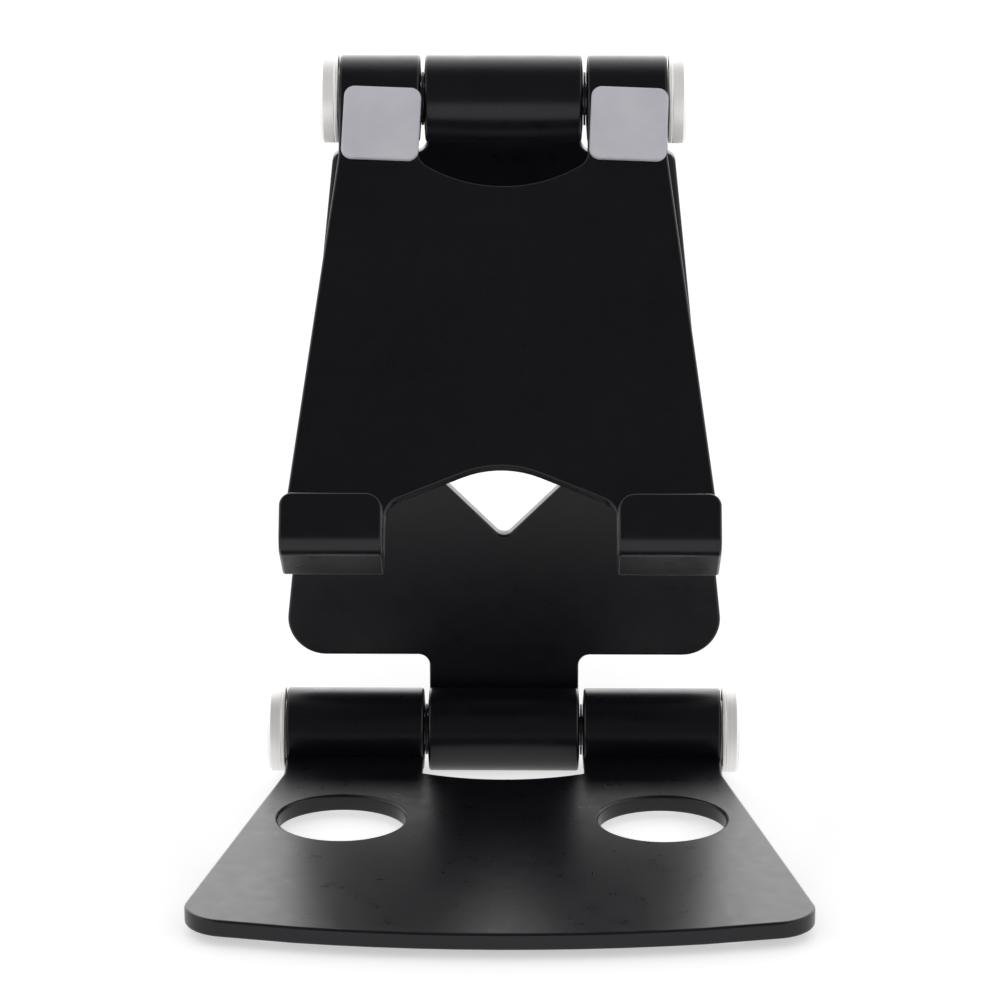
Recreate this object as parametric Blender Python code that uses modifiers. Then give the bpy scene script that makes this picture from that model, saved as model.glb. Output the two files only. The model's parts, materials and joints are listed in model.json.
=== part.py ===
"""Folding phone stand: a base plate, an arm and a phone holder, joined by two friction hinges.

Metres, +Z up, the front of the stand towards -Y. The origin is on the ground, in the middle of
the space that the opened stand takes up. Every plate is drawn flat in its own frame: u across
the stand, v along the plate, away from its hinge.
"""
import math

import bmesh
import bpy

MM = 0.001

# Plates and hinge knuckles
SHEET = 2.6 * MM                # thickness of all three plates
BARREL_R = 6.5 * MM             # outer radius of the hinge knuckles
ARM_LENGTH = 102.2 * MM         # from the lower hinge's axis to the upper one's
CENTRE_HALF = 11.9 * MM         # half the width of both middle knuckles
KNUCKLE_GAP = 0.5 * MM          # between a middle knuckle and its neighbours
OUTER_START = CENTRE_HALF + KNUCKLE_GAP
END_TAPER = 0.15 * MM           # how far facing knuckle ends fall back towards their rims
LOWER_END = 34.0 * MM           # outer end of the base's knuckles
UPPER_END = 24.45 * MM          # outer end of the holder's knuckles
RIM = 0.35 * MM                 # chamfer along every plate edge and knuckle end
SET_IN = 0.05 * MM              # how far a plate stays inside its knuckles' ends and tangents
ROOT_V = 0.4 * MM               # where the arm's and the holder's sheets begin, inside the knuckles
NECK_HALF = CENTRE_HALF - END_TAPER - SET_IN    # half the width of the arm's necks
NOTCH_HALF = OUTER_START + END_TAPER + SET_IN   # half the width of the base's and holder's notches

# Base plate
BASE_TOP = -2.5 * MM            # its upper face, above the lower hinge's axis
BASE_REACH = 79.6 * MM          # from the axis to the middle of the front edge
BASE_ROOT_V = 3.9 * MM          # where its sheet begins, inside the knuckles
BASE_SIDE_V = 13.5 * MM         # where its sides begin to spread
BASE_SIDE_R = 4.0 * MM
BASE_CORNER_U = 46.5 * MM       # the front corners before they are rounded
BASE_CORNER_V = 73.6 * MM
BASE_CORNER_R = 6.5 * MM
HOLE_R = 9.7 * MM               # the two holes that the hooks drop through
HOLE_U = 24.2 * MM
HOLE_V = 33.0 * MM
BASE_NOTCH = 15.9 * MM          # middle of its curved notch, from the axis
BASE_NOTCH_END = 13.1 * MM

# Arm
NECK_R = 1.8 * MM               # in the corners where the necks begin
SHOULDER_LOW = 11.0 * MM        # lower edge of the arm's wide part, its half width and its corners
SHOULDER_LOW_U = 34.65 * MM
SHOULDER_LOW_R = 6.0 * MM
SHOULDER_HIGH = 92.7 * MM       # the same for its upper edge
SHOULDER_HIGH_U = 25.95 * MM
SHOULDER_HIGH_R = 1.6 * MM
WINDOW_V = 42.0 * MM            # centre and half diagonal of the diamond window
WINDOW_HALF = 11.6 * MM
WINDOW_R = 1.6 * MM

# Holder
HOLDER_NOTCH = 16.3 * MM        # middle of its curved notch, from the upper axis
HOLDER_NOTCH_END = 12.3 * MM
HOLDER_NOTCH_R = 2.5 * MM
HOLDER_SIDE_V = 11.5 * MM       # where its sides begin to spread
HOOK_SIDE_V = 67.5 * MM         # where they are as wide as the hooks
HOLDER_SIDE_R = 5.0 * MM
FLOOR_V = 76.2 * MM             # underside of the hooks, from the upper axis
HOOK_DEPTH = 15.2 * MM          # from the plate's back face to the front of the lip
HOOK_IN = 16.8 * MM
HOOK_OUT = 31.5 * MM
LIP_HEIGHT = 8.6 * MM           # outside height of the lip
BEND_R = 3.0 * MM               # outer radius of both bends in a hook
LIP_IN_R = 2.4 * MM             # corners of the lip
LIP_OUT_R = 1.8 * MM
HOOK_ROOT_V = 65.5 * MM         # where the arched edge meets the hook's inner side
HOOK_ROOT_R = 3.2 * MM
ARCH_PEAK = 58.6 * MM           # top of the arched edge between the hooks, before it is rounded
ARCH_R = 15.0 * MM

# Hinge hardware
BORE_R = 3.6 * MM
POCKET_R = 4.95 * MM            # counterbore in the outer end of each outer knuckle
POCKET_DEPTH = 6.05 * MM
SHAFT_R = 2.5 * MM
BUSH_R = 3.45 * MM
BUSH_HOLE_R = 2.55 * MM
WASHER_R = 4.0 * MM
HEAD_R = 4.3 * MM
HEAD_DEPTH = 2.6 * MM
SPRING_R = 4.5 * MM
SPRING_SHEET = 0.4 * MM
SPRING_DISH = 0.25 * MM
NUT_FLATS = 8.0 * MM
NUT_DEPTH = 2.4 * MM
CAP_R = 6.65 * MM
CAP_DEPTH = 2.6 * MM
CAP_PLUG_R = 4.65 * MM
CAP_PLUG_DEPTH = 0.9 * MM
CAP_RIM = 0.45 * MM             # chamfer round the cap's outer face
CAP_EDGE = 0.2 * MM             # and round its inner one
CLEAR = 0.1 * MM                # between the hinge's clamped pieces
REST_GAP = 0.3 * MM             # between a pad and its plate, and inside the caps

# Silicone pads
PHONE_PAD = 11.5 * MM
PHONE_PAD_DEPTH = 0.9 * MM
PHONE_PAD_U = 18.4 * MM
PHONE_PAD_SHIFT = 0.3 * MM      # both phone pads sit a little to the right
PHONE_PAD_V = 6.8 * MM
PHONE_PAD_TURN = math.radians(2.2)   # and neither is quite square to the holder
PHONE_PAD_R = 1.6 * MM
HOOK_PAD_FORWARD = 5.0 * MM     # its middle, in front of the holder's face
HOOK_PAD = (12.5 * MM, 8.2 * MM, 0.8 * MM)
HOOK_PAD_R = 1.5 * MM
FOOT_DEPTH = 1.3 * MM
FRONT_FOOT = (15.0 * MM, 7.0 * MM, FOOT_DEPTH)
FRONT_FOOT_U = 28.0 * MM
FRONT_FOOT_V = 69.0 * MM
FRONT_FOOT_R = 2.5 * MM
REAR_FOOT = (13.0 * MM, 5.0 * MM, FOOT_DEPTH)
REAR_FOOT_U = 23.0 * MM
REAR_FOOT_V = 16.5 * MM
REAR_FOOT_R = 2.0 * MM

# Placing: the opened stand's pose and the lower hinge's place
ARM_LEAN = math.radians(2.6)         # the arm leans forward from the vertical
HOLDER_SLOPE = math.radians(33.3)    # the holder's lower edge is forward of its hinge
HINGE_Y = (BASE_REACH - CAP_R) / 2
HINGE_Z = FOOT_DEPTH + REST_GAP + SHEET - BASE_TOP

KNUCKLE_STEPS = 40
HARDWARE_STEPS = 20
HALF_STEP = math.pi / KNUCKLE_STEPS  # keeps a bore's facets off those of the knuckle it is cut in
ARC_STEP = math.radians(12)


# ---------------------------------------------------------------- scene and materials

def clear_scene():
    for obj in list(bpy.data.objects):
        bpy.data.objects.remove(obj, do_unlink=True)


def new_collection(name):
    collection = bpy.data.collections.new(name)
    bpy.context.scene.collection.children.link(collection)
    return collection


def new_material(name, colour, metallic, roughness):
    material = bpy.data.materials.new(name)
    material.use_nodes = True
    shader = material.node_tree.nodes["Principled BSDF"]
    shader.inputs["Base Color"].default_value = (*colour, 1.0)
    shader.inputs["Metallic"].default_value = metallic
    shader.inputs["Roughness"].default_value = roughness
    return material


def finish_of(name):
    """Colour, metallic value and roughness by the kind of piece."""
    if "plate" in name:
        return (0.012, 0.012, 0.014), 0.7, 0.42
    if "pad" in name:
        return (0.42, 0.42, 0.45), 0.0, 0.6
    if "cap" in name:
        return (0.86, 0.85, 0.83), 1.0, 0.25
    if "bush" in name or "washer" in name:
        return (0.016, 0.016, 0.017), 0.0, 0.5
    return (0.55, 0.55, 0.56), 1.0, 0.35


def place(obj, parent, location=(0, 0, 0), rotation=(0, 0, 0)):
    obj.parent = parent
    obj.location = location
    obj.rotation_euler = rotation
    return obj


def add_part(mesh, name):
    obj = bpy.data.objects.new(name, mesh)
    PARTS.objects.link(obj)
    obj.data.materials.append(new_material(name, *finish_of(name)))
    return obj


def add_cutter(mesh, name):
    obj = bpy.data.objects.new(name, mesh)
    CUTTERS.objects.link(obj)
    obj.hide_render = True
    obj.display_type = "WIRE"
    return obj


def add_empty(name, parent=None, location=(0, 0, 0), rotation=(0, 0, 0)):
    empty = bpy.data.objects.new(name, None)
    PARTS.objects.link(empty)
    return place(empty, parent, location, rotation)


def boolean(obj, other, operation):
    modifier = obj.modifiers.new(other.name, "BOOLEAN")
    modifier.object = other
    modifier.operation = operation
    modifier.solver = "EXACT"


def smooth(mesh):
    mesh.shade_smooth()
    mesh.set_sharp_from_angle(angle=math.radians(30))


# ---------------------------------------------------------------- flat outlines

def rounded(corners):
    """Outline from corners (u, v, radius): each corner becomes an arc."""
    outline = []
    count = len(corners)
    for i, (u, v, radius) in enumerate(corners):
        if radius == 0:
            outline.append((u, v))
            continue
        before = corners[i - 1]
        after = corners[(i + 1) % count]
        a1 = math.atan2(before[1] - v, before[0] - u)
        a2 = math.atan2(after[1] - v, after[0] - u)
        turn = (a2 - a1 + math.pi) % (2 * math.pi) - math.pi
        middle = a1 + turn / 2
        reach = radius / abs(math.sin(turn / 2))
        centre = (u + reach * math.cos(middle), v + reach * math.sin(middle))
        sweep = math.copysign(math.pi - abs(turn), turn)
        steps = max(2, math.ceil(abs(sweep) / ARC_STEP))
        for k in range(steps + 1):
            angle = middle + math.pi - sweep * (k / steps - 0.5)
            outline.append((centre[0] + radius * math.cos(angle), centre[1] + radius * math.sin(angle)))
    return outline


def bow(half_chord, middle_v, end_v, steps):
    """Corners of a circular arc across the stand, from +half_chord to -half_chord."""
    rise = middle_v - end_v
    radius = (half_chord ** 2 + rise ** 2) / (2 * abs(rise))
    sweep = math.asin(half_chord / radius)
    side = math.copysign(radius, rise)
    angles = [sweep * (1 - 2 * k / steps) for k in range(steps + 1)]
    return [(radius * math.sin(a), middle_v - side * (1 - math.cos(a)), 0) for a in angles]


def circle(centre_u, centre_v, radius, steps=36):
    angles = [2 * math.pi * k / steps for k in range(steps)]
    return [(centre_u + radius * math.cos(a), centre_v + radius * math.sin(a)) for a in angles]


def inner_edges(bm):
    return [edge for edge in bm.edges if not edge.is_boundary]


def flat_sheet(name, outlines, cuts=()):
    """An open flat surface inside the first outline, without the holes that the others bound.

    The cuts are lines across it, one at each v, along which it can be bent.
    """
    curve = bpy.data.curves.new(name, "CURVE")
    curve.dimensions = "2D"
    curve.fill_mode = "BOTH"
    for outline in outlines:
        spline = curve.splines.new("POLY")
        spline.points.add(len(outline) - 1)
        for point, (u, v) in zip(spline.points, outline):
            point.co = (u, v, 0, 1)
        spline.use_cyclic_u = True
    obj = bpy.data.objects.new(name, curve)
    bpy.context.scene.collection.objects.link(obj)
    depsgraph = bpy.context.evaluated_depsgraph_get()
    mesh = bpy.data.meshes.new_from_object(obj.evaluated_get(depsgraph))
    bpy.data.objects.remove(obj, do_unlink=True)
    bm = bmesh.new()
    bm.from_mesh(mesh)
    bmesh.ops.remove_doubles(bm, verts=bm.verts, dist=1e-6)
    bmesh.ops.beautify_fill(bm, faces=bm.faces, edges=inner_edges(bm))
    bmesh.ops.recalc_face_normals(bm, faces=bm.faces)
    if sum(face.normal.z for face in bm.faces) < 0:
        bmesh.ops.reverse_faces(bm, faces=bm.faces)
    for v in cuts:
        geometry = bm.verts[:] + bm.edges[:] + bm.faces[:]
        bmesh.ops.bisect_plane(bm, geom=geometry, dist=1e-7, plane_co=(0, v, 0), plane_no=(0, 1, 0))
    for edge in bm.edges:
        edge.seam = any(all(abs(vert.co.y - v) < 1e-7 for vert in edge.verts) for v in cuts)
    joins = [edge for edge in inner_edges(bm) if not edge.seam]
    bmesh.ops.dissolve_limit(bm, angle_limit=0.01, verts=[], edges=joins, delimit={"SEAM"})
    bm.to_mesh(mesh)
    bm.free()
    mesh.materials.clear()
    return mesh


def thicken(obj):
    """Give a sheet its thickness, below its surface, and chamfer its rim."""
    solidify = obj.modifiers.new("Thickness", "SOLIDIFY")
    solidify.thickness = SHEET
    solidify.offset = -1
    solidify.use_even_offset = True
    bevel = obj.modifiers.new("Rim", "BEVEL")
    bevel.width = RIM
    bevel.segments = 1
    bevel.limit_method = "ANGLE"
    bevel.angle_limit = math.radians(60)
    bevel.use_clamp_overlap = False


# ---------------------------------------------------------------- turned pieces

def turned(name, profile, closed=False, phase=0):
    """Mesh edges of a (radius, length) profile, for a Screw about the local Z axis."""
    mesh = bpy.data.meshes.new(name)
    points = [(radius * math.cos(phase), radius * math.sin(phase), along) for radius, along in profile]
    edges = [(i, i + 1) for i in range(len(points) - 1)]
    if closed:
        edges.append((len(points) - 1, 0))
    mesh.from_pydata(points, edges, [])
    return mesh


def screw(obj, steps=KNUCKLE_STEPS):
    """Turn the profile, with its axis laid across the stand."""
    modifier = obj.modifiers.new("Turn", "SCREW")
    modifier.axis = "Z"
    modifier.steps = steps
    modifier.render_steps = steps
    modifier.use_merge_vertices = True
    modifier.merge_threshold = 1e-6
    modifier.use_smooth_shade = False
    return obj


def both_sides(obj):
    """Repeat a turned piece on the other side of the centre plane."""
    modifier = obj.modifiers.new("Both sides", "MIRROR")
    modifier.use_axis = (False, False, True)
    modifier.use_mirror_merge = False


def tapered_end(end, inward):
    """Profile of a knuckle end that faces another: flat for the washer, then falling back."""
    rim = end + inward * END_TAPER
    return [(0, end), (WASHER_R + CLEAR, end), (BARREL_R - RIM, rim), (BARREL_R, rim + inward * RIM)]


def middle_profile():
    return tapered_end(CENTRE_HALF, -1) + tapered_end(-CENTRE_HALF, 1)[::-1]


def outer_profile(end):
    return [(0, end), (BARREL_R - RIM, end), (BARREL_R, end - RIM)] + tapered_end(OUTER_START, 1)[::-1]


def ring_profile(outer, inner, start, end):
    return [(outer, end), (outer, start), (inner, start), (inner, end)]


ACROSS = (0, math.pi / 2, 0)    # turns a local Z axis to lie along X


def middle_barrel(name, parent, location=(0, 0, 0)):
    barrel = screw(add_cutter(turned(name, middle_profile()), name))
    return place(barrel, parent, location, ACROSS)


def middle_bore(name, parent, location=(0, 0, 0)):
    reach = CENTRE_HALF + KNUCKLE_GAP / 2
    profile = [(0, reach), (BORE_R, reach), (BORE_R, -reach), (0, -reach)]
    bore = screw(add_cutter(turned(name, profile, phase=HALF_STEP), name))
    return place(bore, parent, location, ACROSS)


def outer_barrels(name, parent, end):
    barrels = screw(add_cutter(turned(name, outer_profile(end)), name))
    both_sides(barrels)
    return place(barrels, parent, rotation=ACROSS)


def outer_bores(name, parent, end):
    floor = end - POCKET_DEPTH
    inside = OUTER_START - KNUCKLE_GAP / 2
    outside = end + KNUCKLE_GAP
    profile = [(0, outside), (POCKET_R, outside), (POCKET_R, floor), (BORE_R, floor),
               (BORE_R, inside), (0, inside)]
    bores = screw(add_cutter(turned(name, profile, phase=HALF_STEP), name))
    both_sides(bores)
    return place(bores, parent, rotation=ACROSS)


# ---------------------------------------------------------------- plates

def closed_outline(half):
    """The whole outline from its +u half, whose first and last corners lie on the centre line."""
    return rounded(half + [(-u, v, radius) for u, v, radius in reversed(half[1:-1])])


def base_outline():
    outer = LOWER_END - SET_IN
    notch = bow(NOTCH_HALF, BASE_NOTCH, BASE_NOTCH_END, 10)[5::-1]
    front = bow(BASE_CORNER_U, BASE_REACH, BASE_CORNER_V, 8)[2:5]
    return closed_outline(notch + [
        (NOTCH_HALF, BASE_ROOT_V, 0), (outer, BASE_ROOT_V, 0), (outer, BASE_SIDE_V, BASE_SIDE_R),
        (BASE_CORNER_U, BASE_CORNER_V, BASE_CORNER_R)] + front)


def make_base_plate(root):
    holes = [circle(side * HOLE_U, HOLE_V, HOLE_R) for side in (-1, 1)]
    plate = add_part(flat_sheet("base_plate", [base_outline()] + holes), "base_plate")
    # v runs towards the front of the stand, so the flat sheet is turned half round
    place(plate, root, (0, 0, BASE_TOP), (0, 0, math.pi))
    thicken(plate)
    boolean(plate, outer_barrels("base_barrels", root, LOWER_END), "UNION")
    boolean(plate, outer_bores("base_bores", root, LOWER_END), "DIFFERENCE")


def arm_outline():
    half = [(NECK_HALF, ROOT_V, 0), (NECK_HALF, SHOULDER_LOW, NECK_R),
            (SHOULDER_LOW_U, SHOULDER_LOW, SHOULDER_LOW_R),
            (SHOULDER_HIGH_U, SHOULDER_HIGH, SHOULDER_HIGH_R),
            (NECK_HALF, SHOULDER_HIGH, NECK_R), (NECK_HALF, ARM_LENGTH - ROOT_V, 0)]
    return rounded(half + [(-u, v, radius) for u, v, radius in reversed(half)])


def arm_window():
    tips = [(WINDOW_HALF, WINDOW_V), (0, WINDOW_V + WINDOW_HALF), (-WINDOW_HALF, WINDOW_V),
            (0, WINDOW_V - WINDOW_HALF)]
    return rounded([(u, v, WINDOW_R) for u, v in tips])


def make_arm_plate(arm):
    plate = add_part(flat_sheet("arm_plate", [arm_outline(), arm_window()]), "arm_plate")
    # the sheet stands up, with its rear face along the rear of the knuckles
    place(plate, arm, (0, BARREL_R - SET_IN - SHEET, 0), (math.pi / 2, 0, 0))
    thicken(plate)
    top = (0, 0, ARM_LENGTH)
    boolean(plate, middle_barrel("arm_lower_barrel", arm), "UNION")
    boolean(plate, middle_barrel("arm_upper_barrel", arm, top), "UNION")
    boolean(plate, middle_bore("arm_lower_bore", arm), "DIFFERENCE")
    boolean(plate, middle_bore("arm_upper_bore", arm, top), "DIFFERENCE")


FLOOR_START = FLOOR_V - BEND_R                       # developed length where each stretch begins
FLOOR_FLAT = FLOOR_START + BEND_R * math.pi / 2
LIP_BEND = FLOOR_FLAT + HOOK_DEPTH - 2 * BEND_R
LIP_FLAT = LIP_BEND + BEND_R * math.pi / 2
LIP_END = LIP_FLAT + LIP_HEIGHT - BEND_R


def holder_outline():
    """The holder unrolled: its outer face from the upper axis down to the tops of the lips."""
    outer = UPPER_END - SET_IN
    notch = bow(NOTCH_HALF, HOLDER_NOTCH, HOLDER_NOTCH_END, 10)[5:0:-1]
    return closed_outline(notch + [
        (NOTCH_HALF, HOLDER_NOTCH_END, HOLDER_NOTCH_R), (NOTCH_HALF, ROOT_V, 0), (outer, ROOT_V, 0),
        (outer, HOLDER_SIDE_V, HOLDER_SIDE_R), (HOOK_OUT, HOOK_SIDE_V, HOLDER_SIDE_R),
        (HOOK_OUT, LIP_END, LIP_OUT_R), (HOOK_IN, LIP_END, LIP_IN_R),
        (HOOK_IN, HOOK_ROOT_V, HOOK_ROOT_R), (0, ARCH_PEAK, ARCH_R)])


def bent(v):
    """Where the outer face goes at developed length v: (down from the axis, in front of the back)."""
    if v <= FLOOR_START:
        return v, 0
    if v <= FLOOR_FLAT:
        angle = (v - FLOOR_START) / BEND_R
        return FLOOR_START + BEND_R * math.sin(angle), BEND_R * (1 - math.cos(angle))
    if v <= LIP_BEND:
        return FLOOR_V, BEND_R + v - FLOOR_FLAT
    if v <= LIP_FLAT:
        angle = (v - LIP_BEND) / BEND_R
        return FLOOR_START + BEND_R * math.cos(angle), HOOK_DEPTH - BEND_R * (1 - math.sin(angle))
    return FLOOR_START - (v - LIP_FLAT), HOOK_DEPTH


def bend_lines(steps=8):
    """Where the unrolled holder is divided, so that its bends come out round."""
    stretches = ((FLOOR_START, FLOOR_FLAT), (LIP_BEND, LIP_FLAT))
    return [start + (end - start) * k / steps for start, end in stretches for k in range(steps + 1)]


def make_holder_plate(holder):
    mesh = flat_sheet("holder_plate", [holder_outline()], bend_lines())
    for vert in mesh.vertices:
        down, forward = bent(vert.co.y)
        vert.co = (vert.co.x, -forward, -down)
    plate = add_part(mesh, "holder_plate")
    place(plate, holder, (0, SHEET + SET_IN - BARREL_R, 0))
    thicken(plate)
    boolean(plate, outer_barrels("holder_barrels", holder, UPPER_END), "UNION")
    boolean(plate, outer_bores("holder_bores", holder, UPPER_END), "DIFFERENCE")


# ---------------------------------------------------------------- hinge hardware

def turned_part(name, profile, parent, closed=False, steps=HARDWARE_STEPS):
    part = screw(add_part(turned(name, profile, closed), name), steps)
    return place(part, parent, rotation=ACROSS)


def make_shaft(name, parent, end):
    """A bolt through the whole hinge: a flat round head at -X and a plain end for the nut."""
    seat = -(end - POCKET_DEPTH) - CLEAR
    tip = end - CAP_PLUG_DEPTH - REST_GAP
    profile = [(0, tip), (SHAFT_R - RIM, tip), (SHAFT_R, tip - RIM), (SHAFT_R, seat), (HEAD_R, seat),
               (HEAD_R, seat - HEAD_DEPTH + RIM), (HEAD_R - RIM, seat - HEAD_DEPTH), (0, seat - HEAD_DEPTH)]
    turned_part(name, profile, parent)


def make_disc_springs(level, parent, start):
    """Two dished washers, rim to seat and centre to centre. Returns where the outer one ends."""
    near = start + SPRING_DISH + SPRING_SHEET
    inner_one = [(SPRING_R, start + SPRING_SHEET), (SPRING_R, start),
                 (BUSH_HOLE_R, start + SPRING_DISH), (BUSH_HOLE_R, near)]
    far = near + CLEAR
    end = far + SPRING_DISH + SPRING_SHEET
    outer_one = [(SPRING_R, end), (SPRING_R, end - SPRING_SHEET), (BUSH_HOLE_R, far),
                 (BUSH_HOLE_R, far + SPRING_SHEET)]
    turned_part(level + "_disc_spring_inner", inner_one, parent, closed=True)
    turned_part(level + "_disc_spring_outer", outer_one, parent, closed=True)
    return end


def make_nut(name, parent, start):
    bm = bmesh.new()
    corner_r = NUT_FLATS / 2 / math.cos(math.pi / 6)
    bmesh.ops.create_cone(bm, cap_ends=True, segments=6, radius1=corner_r, radius2=corner_r, depth=NUT_DEPTH)
    mesh = bpy.data.meshes.new(name)
    bm.to_mesh(mesh)
    bm.free()
    nut = place(add_part(mesh, name), parent, (start + NUT_DEPTH / 2, 0, 0), ACROSS)
    hole = [(0, NUT_DEPTH), (BUSH_HOLE_R, NUT_DEPTH), (BUSH_HOLE_R, -NUT_DEPTH), (0, -NUT_DEPTH)]
    drill = screw(add_cutter(turned(name + "_hole", hole), name + "_hole"), HARDWARE_STEPS)
    place(drill, parent, nut.location, ACROSS)
    boolean(nut, drill, "DIFFERENCE")


def make_cap(name, parent, end, side):
    """A turned end cap: a plug in the knuckle's pocket and a chamfered disc over it."""
    inner = end + REST_GAP
    outer = inner + CAP_DEPTH
    plug = end - CAP_PLUG_DEPTH
    profile = [(0, outer), (CAP_R - CAP_RIM, outer), (CAP_R, outer - CAP_RIM), (CAP_R, inner + CAP_EDGE),
               (CAP_R - CAP_EDGE, inner), (CAP_PLUG_R, inner), (CAP_PLUG_R, plug), (0, plug)]
    cap = turned_part(name, profile, parent, steps=KNUCKLE_STEPS)
    cap.rotation_euler = (0, side * math.pi / 2, 0)


def make_hinge(level, end, outside, inside, pin):
    """The hardware of one hinge. outside holds the outer knuckles, inside the middle one."""
    floor = end - POCKET_DEPTH
    make_shaft(level + "_shaft", pin, end)
    make_nut(level + "_nut", pin, make_disc_springs(level, pin, floor + CLEAR) + CLEAR)
    bush = ring_profile(BUSH_R, BUSH_HOLE_R, CLEAR - CENTRE_HALF, CENTRE_HALF - CLEAR)
    turned_part(level + "_middle_bush", bush, inside, closed=True)
    for side, word in ((-1, "left"), (1, "right")):
        washer = ring_profile(WASHER_R, BUSH_HOLE_R, CENTRE_HALF + CLEAR, OUTER_START - CLEAR)
        bush = ring_profile(BUSH_R, BUSH_HOLE_R, OUTER_START + CLEAR, floor - CLEAR)
        washer_part = turned_part(f"{level}_washer_{word}", washer, pin, closed=True)
        bush_part = turned_part(f"{level}_bush_{word}", bush, outside, closed=True)
        washer_part.rotation_euler = bush_part.rotation_euler = (0, side * math.pi / 2, 0)
        make_cap(f"{level}_cap_{word}", outside, end, side)


# ---------------------------------------------------------------- pads

def make_pad(name, parent, location, size, corner_r, rotation=(0, 0, 0)):
    """A flat pad with rounded corners. Its back is at the location, its face size[2] above it."""
    u, v = size[0] / 2, size[1] / 2
    outline = rounded([(u, v, corner_r), (-u, v, corner_r), (-u, -v, corner_r), (u, -v, corner_r)])
    pad = add_part(flat_sheet(name, [outline]), name)
    place(pad, parent, location, rotation)
    solidify = pad.modifiers.new("Thickness", "SOLIDIFY")
    solidify.thickness = size[2]
    solidify.offset = 1
    return pad


def make_pads(root, holder):
    under = BASE_TOP - SHEET - REST_GAP - FOOT_DEPTH
    on_holder = -BARREL_R - REST_GAP
    hook_middle = (HOOK_IN + HOOK_OUT) / 2
    hook_floor = REST_GAP + SHEET - FLOOR_V
    for side, word in ((-1, "left"), (1, "right")):
        make_pad(f"phone_pad_{word}", holder, (side * PHONE_PAD_U + PHONE_PAD_SHIFT, on_holder, -PHONE_PAD_V),
                 (PHONE_PAD, PHONE_PAD, PHONE_PAD_DEPTH), PHONE_PAD_R, (math.pi / 2, PHONE_PAD_TURN, 0))
        make_pad(f"hook_pad_{word}", holder, (side * hook_middle, -BARREL_R - HOOK_PAD_FORWARD, hook_floor),
                 HOOK_PAD, HOOK_PAD_R)
        make_pad(f"foot_pad_front_{word}", root, (side * FRONT_FOOT_U, -FRONT_FOOT_V, under),
                 FRONT_FOOT, FRONT_FOOT_R)
        make_pad(f"foot_pad_rear_{word}", root, (side * REAR_FOOT_U, -REAR_FOOT_V, under),
                 REAR_FOOT, REAR_FOOT_R)


def main():
    root = add_empty("lower_hinge_axis", location=(0, HINGE_Y, HINGE_Z))
    arm = add_empty("arm_frame", root, rotation=(ARM_LEAN, 0, 0))
    holder = add_empty("upper_hinge_axis", arm, (0, 0, ARM_LENGTH), (-ARM_LEAN - HOLDER_SLOPE, 0, 0))
    upper_pin = add_empty("upper_pin_frame", arm, (0, 0, ARM_LENGTH))
    make_base_plate(root)
    make_arm_plate(arm)
    make_holder_plate(holder)
    make_hinge("lower", LOWER_END, outside=root, inside=arm, pin=root)
    make_hinge("upper", UPPER_END, outside=holder, inside=upper_pin, pin=upper_pin)
    make_pads(root, holder)
    for obj in PARTS.objects:
        if obj.type == "MESH":
            smooth(obj.data)


clear_scene()
PARTS = new_collection("phone_stand")
CUTTERS = new_collection("cutters")
main()
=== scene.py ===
"""Looks of the folding phone stand: fine plates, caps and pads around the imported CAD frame.

The three plates, the four hinge caps and all pads are rebuilt here with rounded edges. The
hardware inside the hinges stays the CAD's own. Metres, +Z up, the front towards -Y.
"""
import json
import math

import bmesh
import bpy
from mathutils import Matrix, Vector


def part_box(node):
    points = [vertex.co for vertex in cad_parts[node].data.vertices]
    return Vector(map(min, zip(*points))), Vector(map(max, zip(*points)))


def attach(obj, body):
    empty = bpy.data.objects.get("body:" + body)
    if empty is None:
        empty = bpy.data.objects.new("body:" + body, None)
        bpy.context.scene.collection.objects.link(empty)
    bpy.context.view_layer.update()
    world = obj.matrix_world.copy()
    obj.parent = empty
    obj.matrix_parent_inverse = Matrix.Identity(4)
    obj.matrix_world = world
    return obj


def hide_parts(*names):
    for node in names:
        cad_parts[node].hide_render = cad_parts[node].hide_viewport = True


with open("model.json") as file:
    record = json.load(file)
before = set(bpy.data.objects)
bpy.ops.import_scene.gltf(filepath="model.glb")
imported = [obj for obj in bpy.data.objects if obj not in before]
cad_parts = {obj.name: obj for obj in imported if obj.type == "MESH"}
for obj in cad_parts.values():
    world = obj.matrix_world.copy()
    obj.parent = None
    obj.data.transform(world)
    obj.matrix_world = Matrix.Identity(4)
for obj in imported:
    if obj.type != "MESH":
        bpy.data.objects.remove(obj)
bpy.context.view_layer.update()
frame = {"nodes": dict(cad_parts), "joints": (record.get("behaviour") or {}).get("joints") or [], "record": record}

MM = 0.001

# From the frame: the two hinge axes, and what follows from them
AXIS_OF = {joint["name"]: Vector(joint["pos_m"]) for joint in frame["joints"]}
LOWER_AXIS = AXIS_OF["arm_tilt"]
UPPER_AXIS = AXIS_OF["holder_tilt"]
ARM_LENGTH = (UPPER_AXIS - LOWER_AXIS).length
ARM_LEAN = math.atan2(LOWER_AXIS.y - UPPER_AXIS.y, UPPER_AXIS.z - LOWER_AXIS.z)
HOLDER_SLOPE = math.radians(33.3)

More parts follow.
